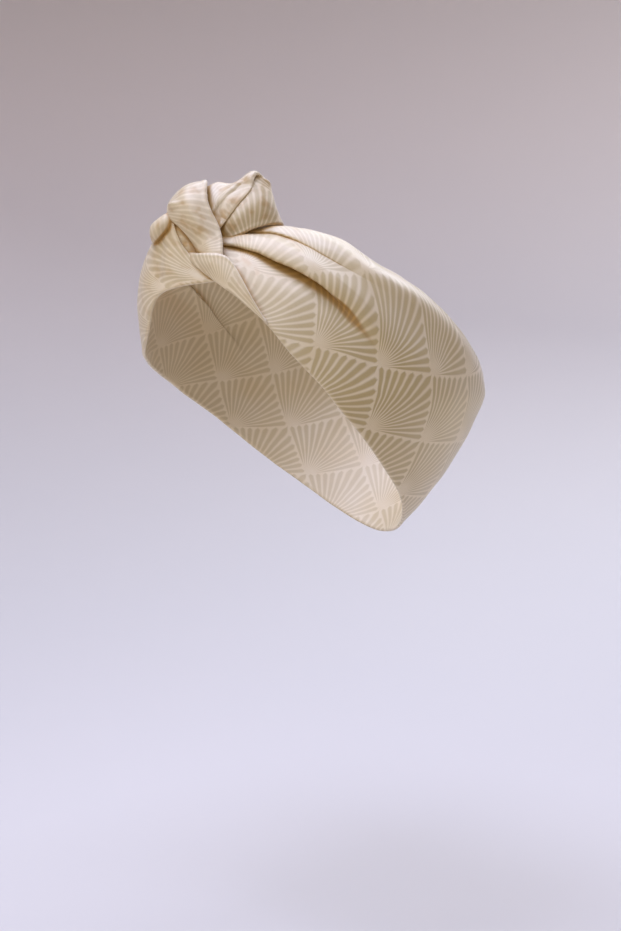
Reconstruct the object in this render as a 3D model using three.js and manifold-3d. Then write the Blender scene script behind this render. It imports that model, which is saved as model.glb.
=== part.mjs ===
import * as THREE from 'three';
import Module from 'manifold-3d';

// Fit form: the rounded inside shape the wrap keeps when it is worn, mm from the origin
const INSIDE_HALF_WIDTH = 75;
const INSIDE_HALF_LENGTH_FRONT = 97;
const INSIDE_HALF_LENGTH_BACK = 100;
const CROWN_HEIGHT = 87;
const NAPE_DEPTH = 106;
// Powers of the rounded form: higher is boxier
const FOREHEAD_POWER = 2.9;
const CROWN_POWER = 1.95;
const NAPE_POWER = 1.38;
const POWER_BLEND = 45;

// Ring frame of the band: centre, and tilt of the knot's direction above the horizontal
const RING_CENTRE_Y = 12;
const RING_CENTRE_Z = 8;
const RING_TILT_DEG = 42;

// Knot frame: centre, and turn of its across axis about the vertical
const KNOT_X = 10;
const KNOT_Y = -70;
const KNOT_Z = 88;
const KNOT_TURN_DEG = 58;

// Doubled cloth
const CLOTH_THICK = 1.6;
const KNOT_CLOTH_THICK = 1.4;
const SEAT_GAP = 0.3;
const LIP_RISE = 2.6;

// Band stations from the gathered end under the knot, round the near side, nape and far side to the crossing.
// Each point is turn round the ring (deg), lift toward the crown (deg), stand-off from the fit form (mm).
// Columns: front edge turn, lift, off; middle turn, lift, off; back edge turn, lift, off
const BAND_STATIONS = [
  [6, -9, 7, 3, -5, 13, 0, 0, 16],
  [10, -8.5, 5, 8, -3, 9.5, 6, 1, 11],
  [14, -7.5, 4, 12.5, -1, 6.5, 8.5, 6, 7.5],
  [19, -9.5, 3, 16, 0, 5, 10, 11.5, 6],
  [24.5, -12, 2.2, 22, 1, 4, 13, 17, 4],
  [31, -16.3, 1.5, 28.5, 2, 2.5, 19.5, 22, 2.5],
  [39, -19.3, 1.2, 39, 3, 2, 33, 26, 1.8],
  [49, -23, 1.2, 50, 2.5, 1.5, 47, 26, 1.5],
  [62, -25.8, 1.2, 62, 2.5, 1.5, 61, 31.5, 1.5],
  [80, -29.5, 1.2, 80, 3.5, 1.5, 79, 36.5, 1.5],
  [110, -31.5, 1.2, 110, 3.5, 1.5, 110, 38, 1.5],
  [145, -29, 1.2, 145, 4, 1.5, 145, 36.5, 1.5],
  [180, -27.5, 1.2, 180, 4, 1.5, 180, 36, 1.5],
  [215, -29, 1.2, 215, 4, 1.5, 215, 36.5, 1.5],
  [250, -31.5, 1.2, 250, 3.5, 1.5, 250, 38, 1.5],
  [280, -31, 1.2, 280, 3, 1.5, 280, 36, 1.5],
  [303, -32, 1.2, 300, 1, 2, 304, 30, 2],
  [325, -33.5, 1.5, 318, -2, 4.5, 328, 23, 4],
  [342, -34, 2, 334, -7, 10, 345, 13, 10],
  [351, -33, 2.5, 345, -11, 14.8, 353, 5, 19],
  [357, -29, 4.5, 350, -12.5, 16.2, 357, 0, 23],
  [361.5, -21.5, 7.5, 355, -11.5, 17.4, 359, -2, 25],
  [368, -18, 6, 361, -11.5, 16.5, 361, -3, 26],
  [374, -15.5, 4, 366, -10.5, 13.5, 362.5, -4, 26],
  [380, -12.5, 2.5, 369, -9.5, 11.5, 364, -4.5, 25],
];

// Pleats, a row per band station: where each side gathers toward the knot. The nape and the fan are smooth.
// Columns: lower crease place across the band (0 front, 1 back), its lip height; upper crease place,
// its lip height; height of the soft roll along the back edge (mm)
const BAND_PLEATS = [
  [0.40, 1.6, 0.70, 1.2, 0],
  [0.38, 2.0, 0.68, 1.8, 0],
  [0.37, 2.6, 0.66, 2.2, 0],
  [0.41, 3.3, 0.69, 2.8, 0],
  [0.43, 3.8, 0.73, 3.2, 0.5],
  [0.44, 4.4, 0.71, 3.4, 1],
  [0.46, 5.2, 0.67, 3.0, 2],
  [0.48, 5.2, 0.71, 2.0, 3],
  [0.45, 3.2, 0.74, 0.6, 2.5],
  [0.40, 0.0, 0.78, 0.0, 1.2],
  [0.40, 0.0, 0.78, 0.0, 0.4],
  [0.40, 0.0, 0.78, 0.0, 0.4],
  [0.40, 0.0, 0.78, 0.0, 0.4],
  [0.40, 0.0, 0.78, 0.0, 0.4],
  [0.42, 0.0, 0.78, 0.0, 0.4],
  [0.46, 0.4, 0.76, 0.4, 1.2],
  [0.50, 1.6, 0.74, 1.4, 2],
  [0.52, 2.6, 0.74, 2.2, 1.5],
  [0.52, 2.4, 0.74, 2.2, 0.5],
  [0.50, 1.0, 0.74, 1.2, 0],
  [0.48, 0.0, 0.74, 0.4, 0],
  [0.48, 0.0, 0.74, 0.0, 0],
];
const BACK_ROLL_PLACE = 0.86;
const BACK_ROLL_WIDTH = 0.09;

// Front cuff stations from its tip below the knot down the near front edge, same columns as the band
const CUFF_STATIONS = [
  [7.8, -9.6, 12.2, 7.9, -9.5, 12.5, 8.0, -9.4, 12.6],
  [12, -12, 10.9, 11.4, -10.6, 12.4, 10.8, -9.0, 12.6],
  [15.1, -12.9, 8.4, 14.2, -10.8, 11.8, 13.2, -8.6, 12.8],
  [18.7, -13.9, 6.5, 17.3, -11, 11, 15.8, -7.8, 12.6],
  [22.3, -14.7, 5, 20.2, -11, 9.2, 18, -7.1, 11.2],
  [26, -15.4, 4.2, 23.3, -11.6, 7.4, 20.6, -7.6, 8.6],
  [29.9, -16.5, 3.6, 27.4, -13.4, 5.8, 24.8, -10, 6.6],
  [33.6, -17.4, 3.4, 32.3, -15.8, 4.6, 31, -14.2, 5.1],
  [37.7, -18.4, 3.3, 37.2, -18, 3.8, 36.6, -17.6, 4.1],
];

// Gathered core of the knot: centre and half sizes, as across, up, out (mm), with shallow gathers round it
const CORE_CENTRE = [-5, 2, -1];
const CORE_HALF = [13, 15, 12];
const CORE_GATHERS = 9;
const CORE_GATHER_DEPTH = 0.5;

// Knot pieces, a row per station; each point as across, up, out (mm).
// Columns: end of the turned-under layer, its middle, left fold, crown, right edge
const STRAP_STATIONS = [
  [-12, -20, 12.5, -7.5, -20, 15.2, -5, -20, 17.2, 0.5, -20.3, 24, 7.4, -20.6, 24.5],
  [-15.5, -16.3, 11.5, -9.5, -16.5, 14.2, -5.8, -16.3, 16.3, 0.3, -16.5, 22.5, 7.3, -17.1, 23],
  [-17.5, -9.5, 9.3, -13, -9.3, 11.9, -10.4, -8.8, 14.5, -2.5, -9.3, 20, 6.8, -10.1, 19],
  [-19.5, -3.8, 7.6, -17, -3, 9.4, -15.5, -2.5, 12.6, -6.3, -2, 20, 4.8, -2.8, 16.5],
  [-21.5, 0.2, 4.5, -21.2, 1, 6.2, -21, 2.6, 8.8, -10.5, 5, 18.5, 0.8, 5, 15],
  [-20.5, 6, -1, -21.8, 7, 1, -22.3, 8.5, 4, -12.5, 12, 14.5, -1.3, 12, 12.5],
  [-17.5, 9, -5, -19.8, 10.4, -3.8, -21, 12, -1.5, -12.5, 18.6, 5.5, -1.8, 20.8, 6],
  [-14, 9, -9, -16, 10, -9.5, -17.5, 11.5, -10, -11, 17.3, -7, -3.5, 19.3, -5],
  [-10.5, 3.5, -13, -12, 4, -14, -13.5, 5, -15, -8, 8, -15.5, -3, 11, -13],
  [-8, -4.5, -12.5, -9, -4.4, -13.4, -10, -4, -14, -5, -3, -15.5, 1, -1, -13],
  [-5, -10, -8, -6, -10, -8.5, -7, -10, -9, -2, -9.5, -10, 3, -8, -9],
];
// Columns: lower edge, middle, upper edge
const LOOP_STATIONS = [
  [2, -9, 8, 2.5, -4, 9, 3, 0, 9],
  [8.3, -9.8, 11, 8.5, -2, 12, 9.5, 5, 10],
  [14.5, -8, 12, 15, 2.5, 12.5, 15.8, 12.3, 7.8],
  [21.5, -4.3, 10.8, 21.3, 7, 11, 21.3, 17.2, 6.4],
  [26.5, -2.4, 8.4, 26, 9.3, 9, 25.4, 20.9, 4.6],
  [30.6, -1.5, 5.4, 29.2, 10, 6, 27.4, 23.2, 2.2],
  [36, -0.8, -1, 32.5, 9.5, 0, 29.4, 22, -1.8],
  [35.5, -1.3, -7, 32, 8.5, -7.5, 28.2, 18.5, -7],
  [28, -2, -11.5, 25.5, 6.5, -13, 22, 15, -11],
  [18, -3, -12.5, 16.5, 5, -14, 14, 13.5, -12],
  [8, -4, -11, 7, 3, -12.5, 5, 11, -11],
];
// Columns: back edge, back face, crown, front face, lip
const FLAP_STATIONS = [
  [0, -3, 11, 1.5, -3.5, 12, 3, -4, 12.6, 4.3, -4.3, 13.2, 5.5, -3.9, 13.5],
  [-4, 10, 4, 0, 6, 10, 4.5, 4, 12, 6.8, 3.4, 13.2, 10.1, 2.4, 13.5],
  [-4, 19, -4, -1, 16, 4, 4, 11.5, 8.8, 9.5, 11.2, 11.4, 15.1, 9.2, 11.5],
  [0, 17, -9, 2.5, 21, -1.5, 6.5, 17.3, 4.5, 12.5, 17.6, 7, 20.1, 16.1, 9],
  [7, 14, -10, 9, 20, -4, 13, 20.8, 0.5, 17, 21.5, 5.6, 21.6, 19.6, 6.5],
  [13, 15, -10, 15, 21, -5, 18.5, 25.2, 0, 20.4, 24.4, 4, 22.3, 22.4, 4],
  [17, 16, -9, 19, 22.5, -4, 22.3, 26, 0.3, 23, 25.6, 1.6, 23.6, 24.4, 1.4],
  [22, 14, -9, 25, 19.5, -5.5, 27.2, 22.6, -2, 27, 22.4, -2.6, 26.2, 22, -3.2],
];
// Columns: lower edge, front face, crown, top, back edge
const ROLL_STATIONS = [
  [-18.5, -2.5, 2, -18.3, -0.8, 7.2, -18, 2.8, 8.6, -17.5, 6.2, 5.4, -17, 7.5, -3],
  [-22.5, -5.5, 2.5, -22.6, -3.6, 7.6, -22.7, 0.2, 9.2, -22.8, 4, 6.2, -22.2, 5.6, -3],
  [-26.5, -8.5, 1.8, -27, -6.6, 6.6, -27.5, -3, 8.2, -27.6, 0.8, 5.4, -26.8, 3, -3.5],
  [-28.6, -10.5, -1, -30, -8.8, 2.8, -31, -5.6, 4, -31.2, -2.2, 1.8, -30.3, -0.4, -5],
  [-28.6, -12.5, -6, -30, -11.4, -4, -31, -9, -3.4, -31.2, -6.6, -4.2, -30, -5, -8],
];

const RAD = Math.PI / 180;

// Value of the table's columns at a station position, smooth through the rows
function stationAt(rows, s) {
  const last = rows.length - 1;
  const i = Math.min(Math.max(Math.floor(s), 0), last - 1);
  const f = s - i;
  const before = i > 0 ? rows[i - 1] : rows[0].map((v, c) => 2 * v - rows[1][c]);
  const after = i + 2 <= last ? rows[i + 2] : rows[last].map((v, c) => 2 * v - rows[last - 1][c]);
  return rows[i].map((v, c) => {
    const a = before[c];
    const b = rows[i + 1][c];
    const d = after[c];
    const square = 2 * a - 5 * v + 4 * b - d;
    const cube = 3 * v - a - 3 * b + d;
    return 0.5 * (2 * v + (b - a) * f + square * f * f + cube * f * f * f);
  });
}

// Point across a station: a parabola through its left, middle and right points
function acrossStation(row, t) {
  const wl = (2 * t - 1) * (t - 1);
  const wm = 4 * t * (1 - t);
  const wr = t * (2 * t - 1);
  return [0, 1, 2].map((c) => row[c] * wl + row[c + 3] * wm + row[c + 6] * wr);
}

// Point across a knot station: smooth through its points, as the rows are
function acrossPoints(row, t) {
  const points = [];
  for (let c = 0; c < row.length; c += 3) points.push(row.slice(c, c + 3));
  return stationAt(points, t * (points.length - 1));
}

// Below 1 inside the fit form, above 1 outside it
function formLevel(x, y, z) {
  const halfLength = y < 0 ? INSIDE_HALF_LENGTH_FRONT : INSIDE_HALF_LENGTH_BACK;
  const ring = Math.hypot(x / INSIDE_HALF_WIDTH, y / halfLength);
  if (z <= 0) {
    return ring ** NAPE_POWER + (-z / NAPE_DEPTH) ** NAPE_POWER;
  }
  const mean = (FOREHEAD_POWER + CROWN_POWER) / 2;
  const power = mean - (FOREHEAD_POWER - CROWN_POWER) / 2 * Math.tanh(y / POWER_BLEND);
  return ring ** power + (z / CROWN_HEIGHT) ** power;
}

// Ring coordinates to a point: out from the ring centre to the fit form, then the stand-off
function ringPoint([turn, lift, off]) {
  const tilt = RING_TILT_DEG * RAD;
  const along = Math.cos(lift * RAD) * Math.cos(turn * RAD);
  const rise = Math.sin(lift * RAD);
  const direction = new THREE.Vector3(
    Math.cos(lift * RAD) * Math.sin(turn * RAD),
    -along * Math.cos(tilt) + rise * Math.sin(tilt),
    along * Math.sin(tilt) + rise * Math.cos(tilt),
  );
  let near = 0;
  let far = 300;
  for (let k = 0; k < 40; k += 1) {
    const r = (near + far) / 2;
    const level = formLevel(direction.x * r, RING_CENTRE_Y + direction.y * r, RING_CENTRE_Z + direction.z * r);
    if (level < 1) near = r;
    else far = r;
  }
  const centre = new THREE.Vector3(0, RING_CENTRE_Y, RING_CENTRE_Z);
  return centre.addScaledVector(direction, near + off);
}

// Knot coordinates to a point
function knotPoint([across, up, out]) {
  const turn = KNOT_TURN_DEG * RAD;
  return new THREE.Vector3(
    KNOT_X + across * Math.cos(turn) + out * Math.sin(turn),
    KNOT_Y + across * Math.sin(turn) - out * Math.cos(turn),
    KNOT_Z + up,
  );
}

// Shingle shape of a pleat: up over its lip at 0, then falling away to nothing at 1
function pleatLip(x, halfRise) {
  const f = Math.min(Math.max((x + halfRise) / (2 * halfRise), 0), 1);
  return f * f * (3 - 2 * f) * Math.min(Math.max(1 - x, 0), 1);
}

// Extra stand-off of the band from its pleats and its back roll
function pleatHeight(s, t, width) {
  const last = BAND_PLEATS.length - 1;
  const [low, lowLip, high, highLip, roll] = stationAt(BAND_PLEATS, Math.min(s, last));
  const rise = Math.max(0.04, LIP_RISE / width);
  const lower = lowLip * pleatLip((t - low) / (high - low), rise / (high - low));
  const upper = highLip * pleatLip((t - high) / (1 - high), rise / (1 - high));
  return lower + upper + roll * Math.exp(-(((t - BACK_ROLL_PLACE) / BACK_ROLL_WIDTH) ** 2));
}

function bandPoint(s, t) {
  const row = stationAt(BAND_STATIONS, s);
  const width = ringPoint(row.slice(0, 3)).distanceTo(ringPoint(row.slice(6, 9)));
  const place = acrossStation(row, t);
  place[2] += pleatHeight(s, t, width);
  return ringPoint(place);
}

const cuffPoint = (s, t) => ringPoint(acrossStation(stationAt(CUFF_STATIONS, s), t));
const strapPoint = (s, t) => knotPoint(acrossPoints(stationAt(STRAP_STATIONS, s), t));
const loopPoint = (s, t) => knotPoint(acrossPoints(stationAt(LOOP_STATIONS, s), t));
const flapPoint = (s, t) => knotPoint(acrossPoints(stationAt(FLAP_STATIONS, s), t));
const rollPoint = (s, t) => knotPoint(acrossPoints(stationAt(ROLL_STATIONS, s), t));

const wasm = await Module();
wasm.setup();

// Closed sheet of cloth: the middle surface carried half the thickness to each side, with a rim.
// Grow thickens and widens it, to make the clearance cut for a neighbour.
function clothSheet(surface, stations, alongCells, acrossCells, thick, grow) {
  const rowsUp = alongCells + 1;
  const rowsOver = acrossCells + 1;
  const length = surface(0, 0.5).distanceTo(surface(stations - 1, 0.5)) + 30;
  const extraS = grow * (stations - 1) / length;
  const grid = [];
  for (let i = 0; i < rowsUp; i += 1) {
    for (let j = 0; j < rowsOver; j += 1) {
      let s = (stations - 1) * i / alongCells;
      let t = j / acrossCells;
      if (i === 0) s -= extraS;
      if (i === alongCells) s += extraS;
      const width = surface(Math.min(Math.max(s, 0), stations - 1), 0).distanceTo(surface(s, 1));
      if (j === 0) t -= grow / width;
      if (j === acrossCells) t += grow / width;
      grid.push(surface(s, t));
    }
  }
  const at = (i, j) => grid[i * rowsOver + j];
  const points = [];
  const half = thick / 2 + grow;
  for (const side of [1, -1]) {
    for (let i = 0; i < rowsUp; i += 1) {
      for (let j = 0; j < rowsOver; j += 1) {
        const along = at(Math.min(i + 1, alongCells), j).clone().sub(at(Math.max(i - 1, 0), j));
        const over = at(i, Math.min(j + 1, acrossCells)).clone().sub(at(i, Math.max(j - 1, 0)));
        const normal = along.cross(over).normalize();
        points.push(at(i, j).clone().addScaledVector(normal, side * half));
      }
    }
  }
  const back = rowsUp * rowsOver;
  const id = (i, j) => i * rowsOver + j;
  const faces = [];
  const quad = (a, b, c, d) => faces.push(a, b, c, a, c, d);
  for (let i = 0; i < alongCells; i += 1) {
    for (let j = 0; j < acrossCells; j += 1) {
      quad(id(i, j), id(i + 1, j), id(i + 1, j + 1), id(i, j + 1));
      quad(back + id(i, j), back + id(i, j + 1), back + id(i + 1, j + 1), back + id(i + 1, j));
    }
  }
  for (let i = 0; i < alongCells; i += 1) {
    quad(id(i, 0), back + id(i, 0), back + id(i + 1, 0), id(i + 1, 0));
    quad(id(i, acrossCells), id(i + 1, acrossCells), back + id(i + 1, acrossCells), back + id(i, acrossCells));
  }
  for (let j = 0; j < acrossCells; j += 1) {
    quad(id(0, j), id(0, j + 1), back + id(0, j + 1), back + id(0, j));
    quad(id(alongCells, j), back + id(alongCells, j), back + id(alongCells, j + 1), id(alongCells, j + 1));
  }
  const vertProperties = new Float32Array(points.flatMap((p) => [p.x, p.y, p.z]));
  const triVerts = new Uint32Array(faces);
  return new wasm.Manifold(new wasm.Mesh({ numProp: 3, vertProperties, triVerts }));
}

// Closed gathered bundle: an egg with shallow gathers running from pole to pole
function gatheredCore(alongCells, roundCells) {
  const points = [];
  const place = (polar, round) => {
    const gather = 1 + CORE_GATHER_DEPTH / CORE_HALF[2] * Math.cos(CORE_GATHERS * round) * Math.sin(polar);
    return knotPoint([
      CORE_CENTRE[0] + CORE_HALF[0] * Math.cos(polar),
      CORE_CENTRE[1] + CORE_HALF[1] * Math.sin(polar) * Math.cos(round) * gather,
      CORE_CENTRE[2] + CORE_HALF[2] * Math.sin(polar) * Math.sin(round) * gather,
    ]);
  };
  points.push(place(0, 0));
  for (let i = 1; i < alongCells; i += 1) {
    for (let j = 0; j < roundCells; j += 1) {
      points.push(place(Math.PI * i / alongCells, 2 * Math.PI * j / roundCells));
    }
  }
  points.push(place(Math.PI, 0));
  const id = (i, j) => 1 + (i - 1) * roundCells + (j + roundCells) % roundCells;
  const tail = points.length - 1;
  const faces = [];
  for (let j = 0; j < roundCells; j += 1) {
    faces.push(0, id(1, j), id(1, j + 1));
    for (let i = 1; i < alongCells - 1; i += 1) {
      faces.push(id(i, j), id(i + 1, j + 1), id(i, j + 1), id(i, j), id(i + 1, j), id(i + 1, j + 1));
    }
    faces.push(id(alongCells - 1, j), tail, id(alongCells - 1, j + 1));
  }
  const vertProperties = new Float32Array(points.flatMap((p) => [p.x, p.y, p.z]));
  const triVerts = new Uint32Array(faces);
  return new wasm.Manifold(new wasm.Mesh({ numProp: 3, vertProperties, triVerts }));
}

// Piece trimmed to a seat gap from its neighbours; slivers cut loose are dropped
function trimmed(sheet, neighbours) {
  let result = sheet;
  for (const other of neighbours) result = result.subtract(other);
  const bodies = result.decompose();
  return bodies.reduce((best, body) => (body.volume() > best.volume() ? body : best));
}

function clothMesh(name, solid, colour) {
  const mesh = solid.getMesh();
  const geometry = new THREE.BufferGeometry();
  geometry.setAttribute('position', new THREE.BufferAttribute(new Float32Array(mesh.vertProperties), 3));
  geometry.setIndex(new THREE.BufferAttribute(new Uint32Array(mesh.triVerts), 1));
  geometry.computeVertexNormals();
  const material = new THREE.MeshStandardMaterial({ color: colour, roughness: 0.55, metalness: 0 });
  const piece = new THREE.Mesh(geometry, material);
  piece.name = name;
  return piece;
}

const CREAM = 0xe6d9bf;
const CREAM_DEEP = 0xdccdae;

const bandCloth = (grow) => clothSheet(bandPoint, BAND_STATIONS.length, 72, 20, CLOTH_THICK, grow);
const strapCloth = (grow) => clothSheet(strapPoint, STRAP_STATIONS.length, 30, 8, KNOT_CLOTH_THICK, grow);
const loopCloth = (grow) => clothSheet(loopPoint, LOOP_STATIONS.length, 26, 6, KNOT_CLOTH_THICK, grow);
const flapCloth = (grow) => clothSheet(flapPoint, FLAP_STATIONS.length, 20, 8, KNOT_CLOTH_THICK, grow);
const rollCloth = (grow) => clothSheet(rollPoint, ROLL_STATIONS.length, 12, 8, KNOT_CLOTH_THICK, grow);
const cuffCloth = (grow) => clothSheet(cuffPoint, CUFF_STATIONS.length, 24, 4, KNOT_CLOTH_THICK, grow);

const bandRoom = bandCloth(SEAT_GAP);
const strapRoom = strapCloth(SEAT_GAP);
const loopRoom = loopCloth(SEAT_GAP);
const flapRoom = flapCloth(SEAT_GAP);
const rollRoom = rollCloth(SEAT_GAP);
const cuffRoom = cuffCloth(SEAT_GAP);

const band = bandCloth(0);
const cuff = trimmed(cuffCloth(0), [bandRoom]);
const strap = trimmed(strapCloth(0), [bandRoom, cuffRoom]);
const flap = trimmed(flapCloth(0), [bandRoom, strapRoom, cuffRoom]);
const loop = trimmed(loopCloth(0), [bandRoom, strapRoom, flapRoom, cuffRoom]);
const roll = trimmed(rollCloth(0), [bandRoom, strapRoom, flapRoom, loopRoom]);
const core = trimmed(gatheredCore(8, 16), [bandRoom, strapRoom, flapRoom, loopRoom, rollRoom]);

const wrap = new THREE.Group();
wrap.name = 'bandana';
wrap.add(
  clothMesh('band', band, CREAM),
  clothMesh('front_cuff', cuff, CREAM),
  clothMesh('knot_core', core, CREAM_DEEP),
  clothMesh('knot_strap', strap, CREAM),
  clothMesh('knot_loop', loop, CREAM_DEEP),
  clothMesh('knot_flap', flap, CREAM),
  clothMesh('knot_roll', roll, CREAM_DEEP),
);

export default wrap;
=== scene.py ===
import bpy
import numpy as np
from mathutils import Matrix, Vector


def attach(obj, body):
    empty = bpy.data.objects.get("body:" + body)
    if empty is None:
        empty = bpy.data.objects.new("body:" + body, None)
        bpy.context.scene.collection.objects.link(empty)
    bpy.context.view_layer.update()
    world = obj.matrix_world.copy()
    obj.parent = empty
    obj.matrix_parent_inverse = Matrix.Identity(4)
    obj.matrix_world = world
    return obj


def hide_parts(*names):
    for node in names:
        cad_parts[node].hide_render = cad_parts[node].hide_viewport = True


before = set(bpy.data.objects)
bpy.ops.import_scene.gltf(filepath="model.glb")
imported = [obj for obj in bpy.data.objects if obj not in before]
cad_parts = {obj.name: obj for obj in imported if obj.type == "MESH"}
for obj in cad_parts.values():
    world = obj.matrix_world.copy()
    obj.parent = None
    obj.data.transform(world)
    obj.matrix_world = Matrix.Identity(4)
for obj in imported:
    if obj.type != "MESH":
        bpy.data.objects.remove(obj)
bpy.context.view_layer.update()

# Band. One long strip of printed cotton satin, folded double, that runs from under the knot along the near
# side, round the back and the far side, and crosses the front back to the knot. The pleats aren't sewn:
# each side gathers into two that lie over each other, and the worn form holds them.
BAND_THICK = 1.3
MM = 0.001
# The form inside the band: half widths, height and depth (mm), and the powers that round it
INSIDE_HALF_WIDTH = 75.0
INSIDE_HALF_LENGTH_FRONT = 97.0
INSIDE_HALF_LENGTH_BACK = 100.0
INSIDE_HEIGHT = 87.0
INSIDE_DEPTH = 106.0
FRONT_POWER = 2.9
BACK_POWER = 1.95
LOWER_POWER = 1.38
POWER_BLEND = 45.0
# The ring that the band follows: its middle (mm) and its lean (degrees)
RING_CENTRE = (0.0, 12.0, 8.0)
RING_TILT_DEG = 42.0

# Columns: front edge turn (deg), lift (deg), stand-off (mm); middle, the same; back edge, the same
BAND_STATIONS = [
    [6, -9, 7, 3, -5, 13, 0, 0, 16],
    [10, -8.5, 5, 8, -3, 9.5, 6, 1, 11],
    [14, -7.5, 4, 12.5, -1, 6.5, 8.5, 6, 7.5],
    [19, -9.5, 3, 16, 0, 5, 10, 11.5, 6],
    [24.5, -12, 2.2, 22, 1, 4, 13, 17, 4],
    [31, -16.3, 1.5, 28.5, 2, 2.5, 19.5, 22, 2.5],
    [39, -19.3, 1.2, 39, 3, 2, 33, 26, 1.8],
    [49, -23, 1.2, 50, 2.5, 1.5, 47, 26, 1.5],
    [62, -25.8, 1.2, 62, 2.5, 1.5, 61, 31.5, 1.5],
    [80, -29.5, 1.2, 80, 3.5, 1.5, 79, 36.5, 1.5],
    [110, -31.5, 1.2, 110, 3.5, 1.5, 110, 38, 1.5],
    [145, -29, 1.2, 145, 4, 1.5, 145, 36.5, 1.5],
    [180, -27.5, 1.2, 180, 4, 1.5, 180, 36, 1.5],
    [215, -29, 1.2, 215, 4, 1.5, 215, 36.5, 1.5],
    [250, -31.5, 1.2, 250, 3.5, 1.5, 250, 38, 1.5],
    [280, -31, 1.2, 280, 3, 1.5, 280, 36, 1.5],
    [303, -32, 1.2, 300, 1, 2, 304, 30, 2],
    [325, -33.5, 1.5, 318, -2, 4.5, 328, 23, 4],
    [342, -34, 2, 334, -7, 10, 345, 13, 10],
    [351, -33, 2.5, 345, -11, 14.8, 353, 5, 19],
    [357, -29, 4.5, 350, -12.5, 16.2, 357, 0, 23],
    [361.5, -21.5, 7.5, 355, -11.5, 17.4, 359, -2, 25],
    [368, -18, 6, 361, -11.5, 16.5, 361, -3, 26],
    [374, -15.5, 4, 366, -10.5, 13.5, 362.5, -4, 26],
    [380, -12.5, 2.5, 369, -9.5, 11.5, 364, -4.5, 25],
]
# Columns: lower crease place across the band, its lip height (mm), tuck depth (mm), depth of the hollow below
# it (mm); upper crease place, its lip height, tuck depth; place and height (mm) of the soft roll at the back
BAND_PLEATS = [
    [0.40, 1.6, 0.8, 0.2, 0.70, 1.2, 0.8, 0.80, 0],
    [0.38, 2.0, 1.4, 0.2, 0.68, 1.8, 1.2, 0.80, 0],
    [0.37, 2.6, 2.4, 0.2, 0.66, 2.2, 2.0, 0.80, 0],
    [0.41, 3.3, 3.6, 0.2, 0.69, 2.8, 3.0, 0.80, 0],
    [0.43, 3.7, 4.4, 0.6, 0.73, 3.2, 3.2, 0.80, 0.5],
    [0.44, 4.2, 4.6, 2.2, 0.71, 3.0, 2.4, 0.80, 1.5],
    [0.46, 4.8, 3.6, 3.1, 0.67, 2.2, 1.0, 0.79, 3],
    [0.48, 4.4, 1.4, 3.2, 0.71, 1.0, 0.2, 0.79, 4.2],
    [0.45, 2.4, 0.0, 1.8, 0.74, 0.6, 0.0, 0.81, 4.6],
    [0.40, 0.0, 0.0, 0.8, 0.78, 0.0, 0.0, 0.86, 3.8],
    [0.40, 0.0, 0.0, 0.0, 0.78, 0.0, 0.0, 0.90, 2.6],
    [0.40, 0.0, 0.0, 0.0, 0.78, 0.0, 0.0, 0.90, 1.2],
    [0.40, 0.0, 0.0, 0.0, 0.78, 0.0, 0.0, 0.90, 0.6],
    [0.40, 0.0, 0.0, 0.0, 0.78, 0.0, 0.0, 0.90, 0.6],
    [0.42, 0.0, 0.0, 0.0, 0.78, 0.0, 0.0, 0.90, 0.6],
    [0.46, 0.4, 0.0, 0.0, 0.76, 0.4, 0.0, 0.86, 1.2],
    [0.50, 1.6, 1.2, 0.3, 0.74, 1.4, 1.0, 0.84, 2],
    [0.52, 2.6, 3.2, 0.6, 0.74, 2.2, 2.8, 0.84, 1.5],
    [0.52, 2.4, 2.6, 0.6, 0.74, 2.2, 2.4, 0.84, 0.5],
    [0.50, 1.0, 0.6, 0.2, 0.74, 1.2, 0.8, 0.84, 0],
    [0.48, 0.0, 0.0, 0.0, 0.74, 0.4, 0.0, 0.84, 0],
    [0.48, 0.0, 0.0, 0.0, 0.74, 0.0, 0.0, 0.84, 0],
    [0.48, 0.0, 0.0, 0.0, 0.74, 0.0, 0.0, 0.84, 0],
    [0.48, 0.0, 0.0, 0.0, 0.74, 0.0, 0.0, 0.84, 0],
    [0.48, 0.0, 0.0, 0.0, 0.74, 0.0, 0.0, 0.84, 0],
]


def smooth_between(a, b, c, d, f):
    """Cubic from b at f = 0 to c at f = 1 whose slope at each is half the difference of its neighbours."""
    return 0.5 * (2 * b + (c - a) * f + (2 * a - 5 * b + 4 * c - d) * f**2 + (3 * b - a - 3 * c + d) * f**3)


def through_rows(rows, s):
    """Columns of a table at row positions s: the smooth cubic between two rows, with straight run-outs past
    the first and last row."""
    rows = np.asarray(rows, float)
    rows = np.vstack([2 * rows[0] - rows[1], rows, 2 * rows[-1] - rows[-2]])
    i = np.clip(np.floor(s).astype(int), 0, len(rows) - 4)
    return smooth_between(rows[i], rows[i + 1], rows[i + 2], rows[i + 3], (s - i)[..., None])


def across_station(columns, t):
    """Point across a station: the parabola through its first, middle and last point at t = 0, 1/2 and 1."""
    t = t[..., None]
    first = columns[..., 0:3] * (2 * t - 1) * (t - 1)
    return first + columns[..., 3:6] * 4 * t * (1 - t) + columns[..., 6:9] * t * (2 * t - 1)


def form_level(x, y, z):
    """Level of the form inside the band: the elliptical ring of x and y, and z over its height or depth, each
    to a power, added. It is 1 on the form; the power runs from boxy at the front to round at the back."""
    half_length = np.where(y < 0, INSIDE_HALF_LENGTH_FRONT, INSIDE_HALF_LENGTH_BACK)
    ring = np.hypot(x / INSIDE_HALF_WIDTH, y / half_length)
    mean = (FRONT_POWER + BACK_POWER) / 2
    power = mean - (FRONT_POWER - BACK_POWER) / 2 * np.tanh(y / POWER_BLEND)
    above = ring**power + (np.maximum(z, 0) / INSIDE_HEIGHT) ** power
    below = ring**LOWER_POWER + (np.maximum(-z, 0) / INSIDE_DEPTH) ** LOWER_POWER
    return np.where(z > 0, above, below)


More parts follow.
